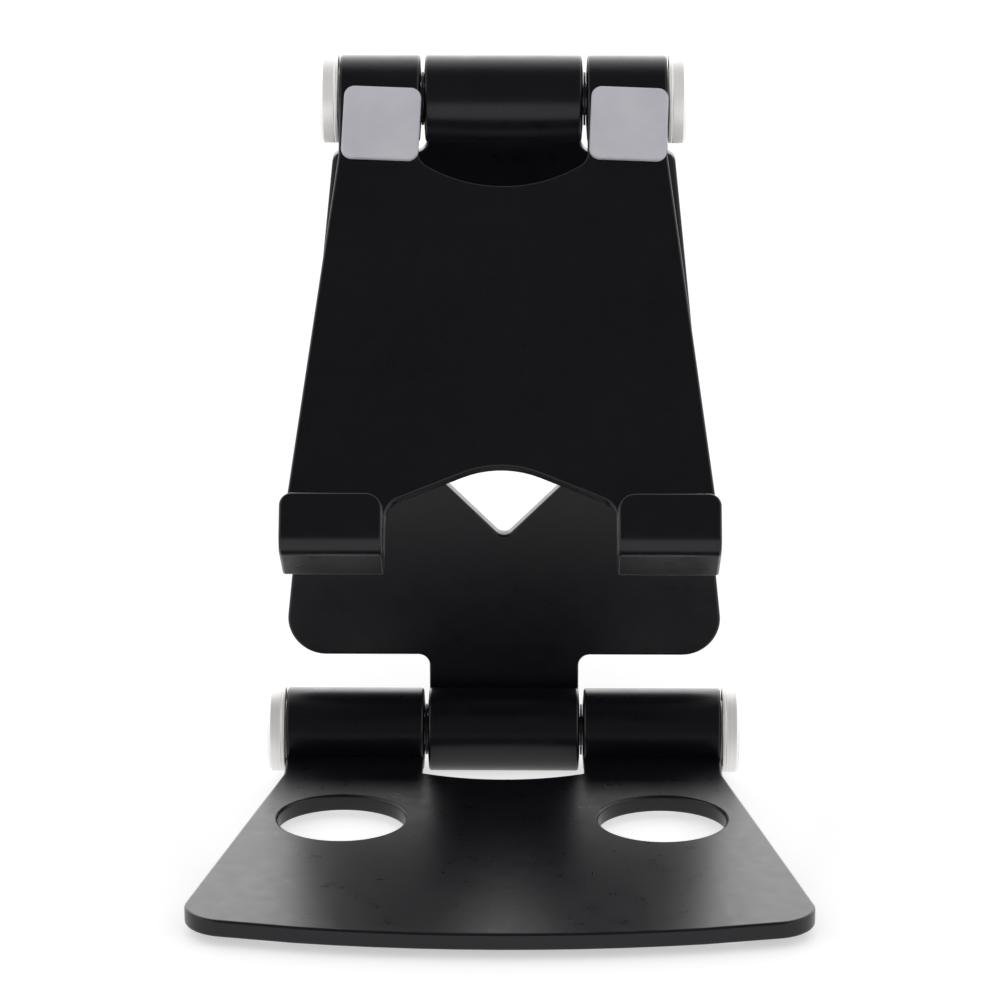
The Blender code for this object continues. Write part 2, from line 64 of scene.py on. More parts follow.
# Plates and knuckles
SHEET = 2.6 * MM
BARREL_R = 6.5 * MM
CENTRE_HALF = 11.9 * MM
OUTER_START = 12.4 * MM
END_TAPER = 0.15 * MM           # how far facing knuckle ends fall back towards their rims
WASHER_R = 4.0 * MM
WASHER_SEAT_R = WASHER_R + 0.1 * MM     # flat middle of a knuckle end that faces another
LOWER_END = 34.0 * MM
UPPER_END = 24.45 * MM
EDGE_R = 0.42 * MM              # rounding of the plate edges
SET_IN = 0.02 * MM              # how far a plate stays inside its knuckles' ends and tangents
ROOT_V = 0.4 * MM               # where the arm's and the holder's sheets begin, inside the knuckles
NECK_HALF = CENTRE_HALF - END_TAPER - SET_IN    # half the width of the arm's necks
NOTCH_HALF = OUTER_START + END_TAPER + SET_IN   # half the width of the base's and holder's notches
BASE_TOP = -2.5 * MM
BASE_REACH = 79.6 * MM
HOLE_R = 9.7 * MM
HOLE_U = 24.2 * MM
HOLE_V = 33.0 * MM
BASE_NOTCH = 15.9 * MM          # middle of the base's curved notch, and its ends
BASE_NOTCH_END = 13.1 * MM
BASE_ROOT_V = 3.9 * MM          # where its sheet begins, inside the knuckles
BASE_SIDE_V = 13.5 * MM         # where its sides begin to spread
BASE_SIDE_R = 4.0 * MM
BASE_CORNER_U = 46.5 * MM       # the front corners before they are rounded
BASE_CORNER_V = 73.6 * MM
BASE_CORNER_R = 6.5 * MM
NECK_R = 1.8 * MM               # in the corners where the arm's necks begin
SHOULDER_LOW = 11.0 * MM        # lower edge of the arm's wide part, its half width and its corners
SHOULDER_LOW_U = 34.65 * MM
SHOULDER_LOW_R = 6.0 * MM
SHOULDER_HIGH = 92.7 * MM       # the same for its upper edge
SHOULDER_HIGH_U = 25.95 * MM
SHOULDER_HIGH_R = 1.6 * MM
WINDOW_V = 42.0 * MM
WINDOW_HALF = 11.6 * MM
WINDOW_R = 1.6 * MM
HOLDER_NOTCH = 16.3 * MM        # middle of the holder's curved notch, and its ends
HOLDER_NOTCH_END = 12.3 * MM
HOLDER_NOTCH_R = 2.5 * MM
HOLDER_SIDE_V = 11.5 * MM       # where its sides begin to spread
HOOK_SIDE_V = 67.5 * MM         # where they are as wide as the hooks
HOLDER_SIDE_R = 5.0 * MM
FLOOR_V = 76.2 * MM
HOOK_DEPTH = 15.2 * MM
HOOK_IN = 16.8 * MM
HOOK_OUT = 31.5 * MM
LIP_HEIGHT = 8.6 * MM
LIP_IN_R = 2.4 * MM
LIP_OUT_R = 1.8 * MM
BEND_R = 3.0 * MM
HOOK_ROOT_V = 65.5 * MM         # where the arched edge meets the hook's inner side
HOOK_ROOT_R = 3.2 * MM
ARCH_PEAK = 58.6 * MM           # top of the arched edge between the hooks, before it is rounded
ARCH_R = 15.0 * MM
BORE_R = 3.6 * MM
POCKET_R = 4.95 * MM
POCKET_DEPTH = 6.05 * MM
CUT_PAST = 1.0 * MM             # how far a bore's cutter runs past the knuckle that it cuts
CUT_PAST_INNER = 0.3 * MM       # and past the inner end of an outer knuckle

# Caps
CAP_DEPTH = 2.6 * MM            # of the disc outside the knuckle
CAP_PLUG_R = 4.65 * MM
CAP_DISH = 0.12 * MM            # depth of the shallow dish in the cap's face
CAP_DISH_IN = 1.5 * MM          # foot and top of the dish's wall, in from the rim
CAP_DISH_OUT = 1.3 * MM
CAP_CHAMFER = (0.35 * MM, 0.5 * MM)     # along the axis and across it
CAP_RIM_R = 0.12 * MM           # rounding where the chamfer meets the rim, and of the back edge
CAP_BACK_R = 0.16 * MM
GROOVE = 0.52 * MM              # middle of the fine groove round the rim, from the disc's back
GROOVE_HALF = 0.1 * MM
GROOVE_DEPTH = 0.07 * MM

# Silicone pads: width, length and thickness, then the corner radius
PHONE_PAD = (11.5 * MM, 11.5 * MM, 0.9 * MM)
PHONE_PAD_R = 1.6 * MM
PHONE_PAD_RIM = 0.45 * MM       # rounding of its upper edge
PHONE_PAD_U = 18.4 * MM
PHONE_PAD_V = 6.8 * MM
PHONE_PAD_SHIFT = 0.3 * MM      # both phone pads sit a little to the right
PHONE_PAD_TURN = math.radians(2.2)      # and neither is quite square to the holder
HOOK_PAD = (12.5 * MM, 8.2 * MM, 0.8 * MM)
HOOK_PAD_R = 1.5 * MM
HOOK_PAD_FORWARD = 5.0 * MM     # its middle, in front of the holder's face
FOOT_SIZE = {"front": (15.0 * MM, 7.0 * MM), "rear": (13.0 * MM, 5.0 * MM)}
FOOT_R = {"front": 2.5 * MM, "rear": 2.0 * MM}
PAD_RIM = 0.35 * MM             # rounding of the upper edge of a hook pad or a foot
REST_GAP = 0.3 * MM             # between the CAD's pads and their plates
PAD_BACK = 0.28 * MM            # how much of that gap the fine pads fill

# The unrolled holder: developed length where each flat stretch and each bend begins
FLOOR_START = FLOOR_V - BEND_R
FLOOR_FLAT = FLOOR_START + BEND_R * math.pi / 2
LIP_BEND = FLOOR_FLAT + HOOK_DEPTH - 2 * BEND_R
LIP_FLAT = LIP_BEND + BEND_R * math.pi / 2
LIP_END = LIP_FLAT + LIP_HEIGHT - BEND_R

KNUCKLE_STEPS = 96
ARC_STEP = math.radians(5)

# Stage: the floor, and the distances from a point under the stand between which its glow fades
FLOOR_HALF = 4.0
GLOW_CENTRE = (0, 12 * MM, 0)
GLOW_BRIGHT = 26 * MM
GLOW_FADED = 50 * MM

# Camera: a long lens, placed from the lower hinge
CAMERA_LENS = 166.16
CAMERA_SENSOR = 36.0
CAMERA_FROM_HINGE = Vector((6.03, -686.94, 243.02)) * MM
CAMERA_DOWN = math.radians(16.64)
CAMERA_ROLL = math.radians(0.01)
CAMERA_PAN = math.radians(0.55)

BASE_FRAME = Matrix.Translation(LOWER_AXIS)
ARM_FRAME = BASE_FRAME @ Matrix.Rotation(ARM_LEAN, 4, "X")
HOLDER_FRAME = Matrix.Translation(UPPER_AXIS) @ Matrix.Rotation(-HOLDER_SLOPE, 4, "X")


# ---------------------------------------------------------------- material helpers

def new_material(name, metallic, roughness):
    """An empty Principled material. Returns the material, its nodes, links and shader."""
    material = bpy.data.materials.new(name)
    material.use_nodes = True
    nodes = material.node_tree.nodes
    shader = nodes["Principled BSDF"]
    shader.inputs["Metallic"].default_value = metallic
    shader.inputs["Roughness"].default_value = roughness
    return material, nodes, material.node_tree.links, shader


def noise(nodes, links, vector, scale, detail=3.0, roughness=0.5):
    node = nodes.new("ShaderNodeTexNoise")
    node.inputs["Scale"].default_value = scale
    node.inputs["Detail"].default_value = detail
    node.inputs["Roughness"].default_value = roughness
    links.new(vector, node.inputs["Vector"])
    return node.outputs["Fac"]


def spread(nodes, links, value, low, high, from_low=0.3, from_high=0.7):
    """Map a noise value onto a range."""
    node = nodes.new("ShaderNodeMapRange")
    node.inputs["From Min"].default_value = from_low
    node.inputs["From Max"].default_value = from_high
    node.inputs["To Min"].default_value = low
    node.inputs["To Max"].default_value = high
    links.new(value, node.inputs["Value"])
    return node.outputs["Result"]


def mean(nodes, links, first, second):
    node = nodes.new("ShaderNodeMix")
    node.inputs["Factor"].default_value = 0.5
    links.new(first, node.inputs["A"])
    links.new(second, node.inputs["B"])
    return node.outputs["Result"]


def two_tone(nodes, links, value, dark, light):
    ramp = nodes.new("ShaderNodeValToRGB")
    ramp.color_ramp.elements[0].position = 0.3
    ramp.color_ramp.elements[0].color = (*dark, 1.0)
    ramp.color_ramp.elements[1].position = 0.7
    ramp.color_ramp.elements[1].color = (*light, 1.0)
    links.new(value, ramp.inputs["Fac"])
    return ramp.outputs["Color"]


def bump(nodes, links, height, strength, distance, normal=None):
    node = nodes.new("ShaderNodeBump")
    node.inputs["Strength"].default_value = strength
    node.inputs["Distance"].default_value = distance
    links.new(height, node.inputs["Height"])
    if normal is not None:
        links.new(normal, node.inputs["Normal"])
    return node.outputs["Normal"]


def object_coordinates(nodes):
    return nodes.new("ShaderNodeTexCoord").outputs["Object"]


def lathe_coordinates(nodes, links):
    """(radius, place along the axis): the same all the way round a piece turned about local X."""
    split = nodes.new("ShaderNodeSeparateXYZ")
    links.new(object_coordinates(nodes), split.inputs[0])
    flat = nodes.new("ShaderNodeCombineXYZ")
    links.new(split.outputs["Y"], flat.inputs["X"])
    links.new(split.outputs["Z"], flat.inputs["Y"])
    radius = nodes.new("ShaderNodeVectorMath")
    radius.operation = "LENGTH"
    links.new(flat.outputs[0], radius.inputs[0])
    rings = nodes.new("ShaderNodeCombineXYZ")
    links.new(radius.outputs["Value"], rings.inputs["X"])
    links.new(split.outputs["X"], rings.inputs["Y"])
    return rings.outputs[0]


# ---------------------------------------------------------------- materials

def black_anodised():
    """Fine blasted aluminium under a black anodic layer, with faint rubbing marks."""
    material, nodes, links, shader = new_material("black_anodised", 0.0, 0.38)
    where = object_coordinates(nodes)
    grain = noise(nodes, links, where, 2600, 1.0, 0.5)
    cloud = noise(nodes, links, where, 38, 4.0)
    rub = noise(nodes, links, where, 420, 3.0)
    tone = mean(nodes, links, grain, cloud)
    colour = two_tone(nodes, links, tone, (0.0018, 0.0018, 0.0032), (0.0040, 0.0040, 0.0064))
    links.new(colour, shader.inputs["Base Color"])
    links.new(spread(nodes, links, rub, 0.27, 0.33), shader.inputs["Roughness"])
    links.new(bump(nodes, links, grain, 0.35, 0.000003), shader.inputs["Normal"])
    shader.inputs["IOR"].default_value = 1.5
    shader.inputs["Specular IOR Level"].default_value = 0.35
    return material


def turned_aluminium():
    """Bright lathe-turned metal: fine rings that follow the turning."""
    material, nodes, links, shader = new_material("turned_aluminium", 0.5, 0.45)
    rings = lathe_coordinates(nodes, links)
    fine = noise(nodes, links, rings, 9000, 2.0, 0.7)
    coarse = noise(nodes, links, rings, 1600, 3.0)
    cloud = noise(nodes, links, object_coordinates(nodes), 260, 3.0)
    colour = two_tone(nodes, links, coarse, (0.80, 0.785, 0.775), (0.94, 0.925, 0.915))
    links.new(colour, shader.inputs["Base Color"])
    links.new(spread(nodes, links, cloud, 0.40, 0.52), shader.inputs["Roughness"])
    normal = bump(nodes, links, coarse, 0.18, 0.00004)
    links.new(bump(nodes, links, fine, 0.15, 0.00001, normal), shader.inputs["Normal"])
    shader.inputs["Anisotropic"].default_value = 0.4
    around = nodes.new("ShaderNodeTangent")
    around.direction_type = "RADIAL"
    around.axis = "X"
    links.new(around.outputs[0], shader.inputs["Tangent"])
    return material


def grey_silicone():
    """Soft matt rubber, with the faint mottling and dust of a moulded pad."""
    material, nodes, links, shader = new_material("grey_silicone", 0.0, 0.62)
    where = object_coordinates(nodes)
    cloud = noise(nodes, links, where, 150, 4.0)
    grain = noise(nodes, links, where, 2600, 2.0)
    colour = two_tone(nodes, links, cloud, (0.385, 0.385, 0.418), (0.44, 0.44, 0.474))
    links.new(colour, shader.inputs["Base Color"])
    links.new(spread(nodes, links, grain, 0.55, 0.72), shader.inputs["Roughness"])
    links.new(bump(nodes, links, grain, 0.12, 0.00003), shader.inputs["Normal"])
    shader.inputs["Subsurface Weight"].default_value = 0.12
    shader.inputs["Subsurface Scale"].default_value = 0.0012
    shader.inputs["Subsurface Radius"].default_value = (1.0, 1.0, 1.0)
    return material


def bearing_plastic():
    """Black low-friction plastic for the bushes and washers."""
    material, nodes, links, shader = new_material("bearing_plastic", 0.0, 0.45)
    where = object_coordinates(nodes)
    cloud = noise(nodes, links, where, 300, 3.0)
    colour = two_tone(nodes, links, cloud, (0.012, 0.012, 0.013), (0.022, 0.022, 0.023))
    links.new(colour, shader.inputs["Base Color"])
    links.new(spread(nodes, links, cloud, 0.4, 0.52), shader.inputs["Roughness"])
    grain = noise(nodes, links, where, 2200)
    links.new(bump(nodes, links, grain, 0.1, 0.00002), shader.inputs["Normal"])
    return material


def steel():
    """Bare steel for the shafts, nuts and springs."""
    material, nodes, links, shader = new_material("steel", 1.0, 0.32)
    where = object_coordinates(nodes)
    cloud = noise(nodes, links, where, 500, 4.0)
    colour = two_tone(nodes, links, cloud, (0.52, 0.52, 0.53), (0.64, 0.64, 0.63))
    links.new(colour, shader.inputs["Base Color"])
    links.new(spread(nodes, links, cloud, 0.26, 0.42), shader.inputs["Roughness"])
    grain = noise(nodes, links, where, 4000)
    links.new(bump(nodes, links, grain, 0.12, 0.00002), shader.inputs["Normal"])
    return material


def floor_paper():
    """White paper whose glow is a painted pool of light, stronger under the stand and fading outwards, so the
    shadows there stay soft.
    """
    material, nodes, links, shader = new_material("floor_paper", 0.0, 0.85)
    shader.inputs["Emission Color"].default_value = (1.0, 1.0, 1.0, 1.0)
    where = object_coordinates(nodes)
    distance = nodes.new("ShaderNodeVectorMath")
    distance.operation = "DISTANCE"
    distance.inputs[1].default_value = GLOW_CENTRE
    links.new(where, distance.inputs[0])
    # painted pool of light: the emission is brightest near the point under the stand and fades to an even level
    # further out
    painted_glow = spread(nodes, links, distance.outputs["Value"], 0.66, 0.50, GLOW_BRIGHT, GLOW_FADED)
    links.new(painted_glow, shader.inputs["Emission Strength"])
    cloud = noise(nodes, links, where, 6, 3.0)
    colour = two_tone(nodes, links, cloud, (0.60, 0.60, 0.60), (0.62, 0.62, 0.62))
    links.new(colour, shader.inputs["Base Color"])
    shader.inputs["Specular IOR Level"].default_value = 0.0
    return material


MATERIAL = {
    "black_anodised": black_anodised(),
    "turned_aluminium": turned_aluminium(),
    "grey_silicone": grey_silicone(),
    "bearing_plastic": bearing_plastic(),
    "steel": steel(),
}


# ---------------------------------------------------------------- outlines

def rounded(corners):
    """Outline from corners (u, v, radius): each corner becomes an arc."""
    outline = []
    count = len(corners)
    for i, (u, v, radius) in enumerate(corners):
        if radius == 0:
            outline.append((u, v))
            continue
        before = corners[i - 1]
        after = corners[(i + 1) % count]
        a1 = math.atan2(before[1] - v, before[0] - u)
        a2 = math.atan2(after[1] - v, after[0] - u)
        turn = (a2 - a1 + math.pi) % (2 * math.pi) - math.pi
        middle = a1 + turn / 2
        reach = radius / abs(math.sin(turn / 2))
        centre = (u + reach * math.cos(middle), v + reach * math.sin(middle))
        sweep = math.copysign(math.pi - abs(turn), turn)
        steps = max(3, math.ceil(abs(sweep) / ARC_STEP))
        for k in range(steps + 1):
            angle = middle + math.pi - sweep * (k / steps - 0.5)
            outline.append((centre[0] + radius * math.cos(angle), centre[1] + radius * math.sin(angle)))
    return outline


def bow(half_chord, middle_v, end_v, steps):
    """Corners of a circular arc across the stand, from +half_chord to -half_chord."""
    rise = middle_v - end_v
    radius = (half_chord ** 2 + rise ** 2) / (2 * abs(rise))
    sweep = math.asin(half_chord / radius)
    side = math.copysign(radius, rise)
    angles = [sweep * (1 - 2 * k / steps) for k in range(steps + 1)]
    return [(radius * math.sin(a), middle_v - side * (1 - math.cos(a)), 0) for a in angles]


def circle(centre_u, centre_v, radius, steps=96):
    angles = [2 * math.pi * k / steps for k in range(steps)]
    return [(centre_u + radius * math.cos(a), centre_v + radius * math.sin(a)) for a in angles]


def closed_outline(half):
    """The whole outline from its +u half, whose first and last corners lie on the centre line."""
    return rounded(half + [(-u, v, radius) for u, v, radius in reversed(half[1:-1])])


def base_outline():
    """Half a notch from its middle out, one side, and half the bowed front edge."""
    outer = LOWER_END - SET_IN
    notch = bow(NOTCH_HALF, BASE_NOTCH, BASE_NOTCH_END, 24)[12::-1]
    front = bow(BASE_CORNER_U, BASE_REACH, BASE_CORNER_V, 16)[3:9]
    return closed_outline(notch + [
        (NOTCH_HALF, BASE_ROOT_V, 0), (outer, BASE_ROOT_V, 0), (outer, BASE_SIDE_V, BASE_SIDE_R),
        (BASE_CORNER_U, BASE_CORNER_V, BASE_CORNER_R)] + front)


def arm_outline():
    half = [(NECK_HALF, ROOT_V, 0), (NECK_HALF, SHOULDER_LOW, NECK_R),
            (SHOULDER_LOW_U, SHOULDER_LOW, SHOULDER_LOW_R),
            (SHOULDER_HIGH_U, SHOULDER_HIGH, SHOULDER_HIGH_R),
            (NECK_HALF, SHOULDER_HIGH, NECK_R), (NECK_HALF, ARM_LENGTH - ROOT_V, 0)]
    return rounded(half + [(-u, v, radius) for u, v, radius in reversed(half)])


def arm_window():
    tips = [(WINDOW_HALF, WINDOW_V), (0, WINDOW_V + WINDOW_HALF), (-WINDOW_HALF, WINDOW_V),
            (0, WINDOW_V - WINDOW_HALF)]
    return rounded([(u, v, WINDOW_R) for u, v in tips])


def holder_outline():
    """The holder unrolled: its outer face from the upper axis down to the tops of the lips."""
    outer = UPPER_END - SET_IN
    notch = bow(NOTCH_HALF, HOLDER_NOTCH, HOLDER_NOTCH_END, 24)[12:1:-1]
    return closed_outline(notch + [
        (NOTCH_HALF, HOLDER_NOTCH_END, HOLDER_NOTCH_R), (NOTCH_HALF, ROOT_V, 0), (outer, ROOT_V, 0),
        (outer, HOLDER_SIDE_V, HOLDER_SIDE_R), (HOOK_OUT, HOOK_SIDE_V, HOLDER_SIDE_R),
        (HOOK_OUT, LIP_END, LIP_OUT_R), (HOOK_IN, LIP_END, LIP_IN_R),
        (HOOK_IN, HOOK_ROOT_V, HOOK_ROOT_R), (0, ARCH_PEAK, ARCH_R)])


# ---------------------------------------------------------------- mesh building

def inner_edges(bm):
    return [edge for edge in bm.edges if not edge.is_boundary]


def flat_sheet(outlines, cuts=()):
    """An open flat surface inside the first outline, without the holes that the others bound.

    The cuts are lines across it, one at each v, along which it can be bent.
    """
    curve = bpy.data.curves.new("outline", "CURVE")
    curve.dimensions = "2D"
    curve.fill_mode = "BOTH"
    for outline in outlines:
        spline = curve.splines.new("POLY")
        spline.points.add(len(outline) - 1)
        for point, (u, v) in zip(spline.points, outline):
            point.co = (u, v, 0, 1)
        spline.use_cyclic_u = True
    obj = bpy.data.objects.new("outline", curve)
    bpy.context.scene.collection.objects.link(obj)
    depsgraph = bpy.context.evaluated_depsgraph_get()
    mesh = bpy.data.meshes.new_from_object(obj.evaluated_get(depsgraph))
    bpy.data.objects.remove(obj, do_unlink=True)
    bm = bmesh.new()
    bm.from_mesh(mesh)
    bmesh.ops.remove_doubles(bm, verts=bm.verts, dist=1e-6)
    bmesh.ops.beautify_fill(bm, faces=bm.faces, edges=inner_edges(bm))
    bmesh.ops.recalc_face_normals(bm, faces=bm.faces)
    if sum(face.normal.z for face in bm.faces) < 0:
        bmesh.ops.reverse_faces(bm, faces=bm.faces)
    for v in cuts:
        geometry = bm.verts[:] + bm.edges[:] + bm.faces[:]
        bmesh.ops.bisect_plane(bm, geom=geometry, dist=1e-7, plane_co=(0, v, 0), plane_no=(0, 1, 0))
    for edge in bm.edges:
        edge.seam = any(all(abs(vert.co.y - v) < 1e-7 for vert in edge.verts) for v in cuts)
    joins = [edge for edge in inner_edges(bm) if not edge.seam]
    bmesh.ops.dissolve_limit(bm, angle_limit=0.01, verts=[], edges=joins, delimit={"SEAM"})
    bm.to_mesh(mesh)
    bm.free()
    mesh.materials.clear()
    return mesh


def new_object(name, mesh, matrix=None):
    obj = bpy.data.objects.new(name, mesh)
    bpy.context.scene.collection.objects.link(obj)
    if matrix is not None:
        obj.matrix_world = matrix
    return obj


def thicken(obj, thickness, offset, edge_r, segments):
    """Give a sheet its thickness, above it (offset 1) or below it (-1), and round its edges."""
    solidify = obj.modifiers.new("Thickness", "SOLIDIFY")
    solidify.thickness = thickness
    solidify.offset = offset
    solidify.use_even_offset = True
    bevel = obj.modifiers.new("Edges", "BEVEL")
    bevel.width = edge_r
    bevel.segments = segments
    bevel.limit_method = "ANGLE"
    bevel.angle_limit = math.radians(60)
    bevel.use_clamp_overlap = False


def lathe(name, profile, matrix, phase=0.0):
    """A turned mesh from (along, radius) points, about the local X axis. phase turns its facets."""
    bm = bmesh.new()
    verts = [bm.verts.new((along, radius * math.cos(phase), radius * math.sin(phase)))
             for along, radius in profile]
    edges = [bm.edges.new(pair) for pair in zip(verts, verts[1:])]
    bmesh.ops.spin(bm, geom=verts + edges, cent=(0, 0, 0), axis=(1, 0, 0), angle=2 * math.pi,
                   steps=KNUCKLE_STEPS, use_merge=True)
    bmesh.ops.remove_doubles(bm, verts=bm.verts, dist=1e-7)
    bmesh.ops.recalc_face_normals(bm, faces=bm.faces)
    mesh = bpy.data.meshes.new(name)
    bm.to_mesh(mesh)
    bm.free()
    return new_object(name, mesh, matrix)


def soft_corner(along, radius, size, quarter, steps=5):
    """Profile points round an edge at (along, radius). quarter is the outward direction."""
    out_along, out_radius = quarter
    centre = (along - out_along * size, radius - out_radius * size)
    points = []
    for k in range(steps + 1):
        angle = math.pi / 2 * k / steps
        points.append((centre[0] + out_along * size * math.cos(angle),
                       centre[1] + out_radius * size * math.sin(angle)))
    return points


def knuckle_end(end, outward, faces_another):
    """Profile of a knuckle's end. One that faces another falls back beyond its washer."""
    if not faces_another:
        return [(end, 0)] + soft_corner(end, BARREL_R, EDGE_R, (outward, 1))
    rim = end - outward * END_TAPER
    return [(end, 0), (end, WASHER_SEAT_R)] + soft_corner(rim, BARREL_R, EDGE_R, (outward, 1))


def middle_barrel(matrix):
    profile = knuckle_end(CENTRE_HALF, 1, True) + knuckle_end(-CENTRE_HALF, -1, True)[::-1]
    return lathe("barrel", profile, matrix)


def outer_barrel(end, matrix):
    profile = knuckle_end(end, 1, False) + knuckle_end(OUTER_START, -1, True)[::-1]
    return lathe("barrel", profile, matrix)


def bore(start, end, matrix):
    """A cutter for a knuckle's bore. An outer knuckle's, which starts past the centre, has a pocket."""
    far = end + CUT_PAST
    if start < 0:
        near = start - CUT_PAST
        profile = [(far, 0), (far, BORE_R), (near, BORE_R), (near, 0)]
    else:
        near = start - CUT_PAST_INNER
        floor = end - POCKET_DEPTH
        profile = [(far, 0), (far, POCKET_R), (floor, POCKET_R), (floor, BORE_R), (near, BORE_R), (near, 0)]
    return lathe("bore", profile, matrix, phase=math.pi / KNUCKLE_STEPS)


def combine(obj, added, removed):
    """Union and cut, then keep only the result, shaded smooth with flat faces left flat."""
    for other, operation in [(o, "UNION") for o in added] + [(o, "DIFFERENCE") for o in removed]:
        modifier = obj.modifiers.new("Cut", "BOOLEAN")
        modifier.object = other
        modifier.operation = operation
        modifier.solver = "EXACT"
    bpy.context.view_layer.update()
    depsgraph = bpy.context.evaluated_depsgraph_get()
    mesh = bpy.data.meshes.new_from_object(obj.evaluated_get(depsgraph))
    obj.modifiers.clear()
    obj.data = mesh
    for other in added + removed:
        bpy.data.objects.remove(other, do_unlink=True)
    finish_surface(obj)
    return settle(obj)


def finish_surface(obj, angle=35):
    obj.data.shade_smooth()
    obj.data.set_sharp_from_angle(angle=math.radians(angle))
    weighted = obj.modifiers.new("Flat faces", "WEIGHTED_NORMAL")
    weighted.keep_sharp = True
    weighted.weight = 90


def settle(obj):
    """Bake the object's place into its mesh, so that its box is no larger than the mesh."""
    bpy.context.view_layer.update()
    obj.data.transform(obj.matrix_world)
    obj.matrix_world = Matrix.Identity(4)
    return obj


def show(obj, material, body, *nodes):
    """Give the piece its material and body, and let it stand for the CAD nodes."""
    obj.data.materials.clear()
    obj.data.materials.append(MATERIAL[material])
    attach(obj, body)
    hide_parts(*nodes)
    return obj


HALF_TURN = Matrix.Rotation(math.pi, 4, "Z")
FACING_FRONT = Matrix.Rotation(math.pi / 2, 4, "X")


# ---------------------------------------------------------------- plates

def make_base():
    outlines = [base_outline()] + [circle(side * HOLE_U, HOLE_V, HOLE_R) for side in (-1, 1)]
    place = BASE_FRAME @ Matrix.Translation((0, 0, BASE_TOP)) @ HALF_TURN
    plate = new_object("base_plate_fine", flat_sheet(outlines), place)
    thicken(plate, SHEET, -1, EDGE_R, 4)
    sides = (BASE_FRAME, BASE_FRAME @ HALF_TURN)
    barrels = [outer_barrel(LOWER_END, side) for side in sides]
    bores = [bore(OUTER_START, LOWER_END, side) for side in sides]
    show(combine(plate, barrels, bores), "black_anodised", "base", "base_plate")


def make_arm():
    place = ARM_FRAME @ Matrix.Translation((0, BARREL_R - SET_IN - SHEET, 0)) @ FACING_FRONT
    plate = new_object("arm_plate_fine", flat_sheet([arm_outline(), arm_window()]), place)
    thicken(plate, SHEET, -1, EDGE_R, 4)
    ends = [ARM_FRAME, ARM_FRAME @ Matrix.Translation((0, 0, ARM_LENGTH))]
    barrels = [middle_barrel(end) for end in ends]
    bores = [bore(-CENTRE_HALF, CENTRE_HALF, end) for end in ends]
    show(combine(plate, barrels, bores), "black_anodised", "arm", "arm_plate")


def bent(v):
    """Where the outer face goes at developed length v: (down from the axis, in front of the back)."""
    if v <= FLOOR_START:
        return v, 0
    if v <= FLOOR_FLAT:
        angle = (v - FLOOR_START) / BEND_R
        return FLOOR_START + BEND_R * math.sin(angle), BEND_R * (1 - math.cos(angle))
    if v <= LIP_BEND:
        return FLOOR_V, BEND_R + v - FLOOR_FLAT
    if v <= LIP_FLAT:
        angle = (v - LIP_BEND) / BEND_R
        return FLOOR_START + BEND_R * math.cos(angle), HOOK_DEPTH - BEND_R * (1 - math.sin(angle))
    return FLOOR_START - (v - LIP_FLAT), HOOK_DEPTH


def bend_lines(steps=14):
    """Where the unrolled holder is divided, so that its bends come out round."""
    stretches = ((FLOOR_START, FLOOR_FLAT), (LIP_BEND, LIP_FLAT))
    return [start + (end - start) * k / steps for start, end in stretches for k in range(steps + 1)]


def make_holder():
    mesh = flat_sheet([holder_outline()], bend_lines())
    for vert in mesh.vertices:
        down, forward = bent(vert.co.y)
        vert.co = (vert.co.x, -forward, -down)
    place = HOLDER_FRAME @ Matrix.Translation((0, SHEET + SET_IN - BARREL_R, 0))
    plate = new_object("holder_plate_fine", mesh, place)
    thicken(plate, SHEET, -1, EDGE_R, 4)
    sides = (HOLDER_FRAME, HOLDER_FRAME @ HALF_TURN)
    barrels = [outer_barrel(UPPER_END, side) for side in sides]
    bores = [bore(OUTER_START, UPPER_END, side) for side in sides]
    show(combine(plate, barrels, bores), "black_anodised", "holder", "holder_plate")


# ---------------------------------------------------------------- caps and pads

def make_cap(node, body):
    """A turned cap on a plug: a disc with a dished face, a chamfer and a fine groove round its rim."""
    low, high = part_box(node)
    axis_y = (low.y + high.y) / 2
    axis_z = (low.z + high.z) / 2
    rim = (high.z - low.z) / 2
    side = math.copysign(1, high.x + low.x)
    plug, outer = sorted((abs(low.x), abs(high.x)))
    disc = outer - CAP_DEPTH
    dish = outer - CAP_DISH
    along, across = CAP_CHAMFER
    groove = disc + GROOVE
    profile = [(dish, 0), (dish, rim - CAP_DISH_IN), (outer, rim - CAP_DISH_OUT), (outer, rim - across)]
    profile += soft_corner(outer - along, rim, CAP_RIM_R, (1, 1), 3)
    profile += [(groove + GROOVE_HALF, rim), (groove, rim - GROOVE_DEPTH), (groove - GROOVE_HALF, rim)]
    profile += soft_corner(disc, rim, CAP_BACK_R, (-1, 1), 3)[::-1]
    profile += [(disc, CAP_PLUG_R), (plug, CAP_PLUG_R), (plug, 0)]
    turn = Matrix.Identity(4) if side > 0 else HALF_TURN
    cap = lathe(node + "_fine", profile, Matrix.Translation((0, axis_y, axis_z)) @ turn)
    finish_surface(cap, 25)
    show(cap, "turned_aluminium", body, node)


def make_pad(node, body, place, size, corner_r, rim):
    """A moulded pad: rounded corners, a soft rim, and a back that reaches towards its plate."""
    u, v = size[0] / 2, size[1] / 2
    outline = rounded([(u, v, corner_r), (-u, v, corner_r), (-u, -v, corner_r), (u, -v, corner_r)])
    back = place @ Matrix.Translation((0, 0, -PAD_BACK))
    pad = new_object(node + "_fine", flat_sheet([outline]), back)
    thicken(pad, size[2] + PAD_BACK, 1, rim, 5)
    combine(pad, [], [])
    show(pad, "grey_silicone", body, node)


def make_foot(row, word):
    """A foot as thick as its CAD node, hung from that node's upper face."""
    node = f"foot_pad_{row}_{word}"
    low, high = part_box(node)
    centre = (low + high) / 2
    under = Matrix.Translation((centre.x, centre.y, high.z)) @ Matrix.Rotation(math.pi, 4, "Y")
    make_pad(node, "base", under, (*FOOT_SIZE[row], high.z - low.z), FOOT_R[row], PAD_RIM)


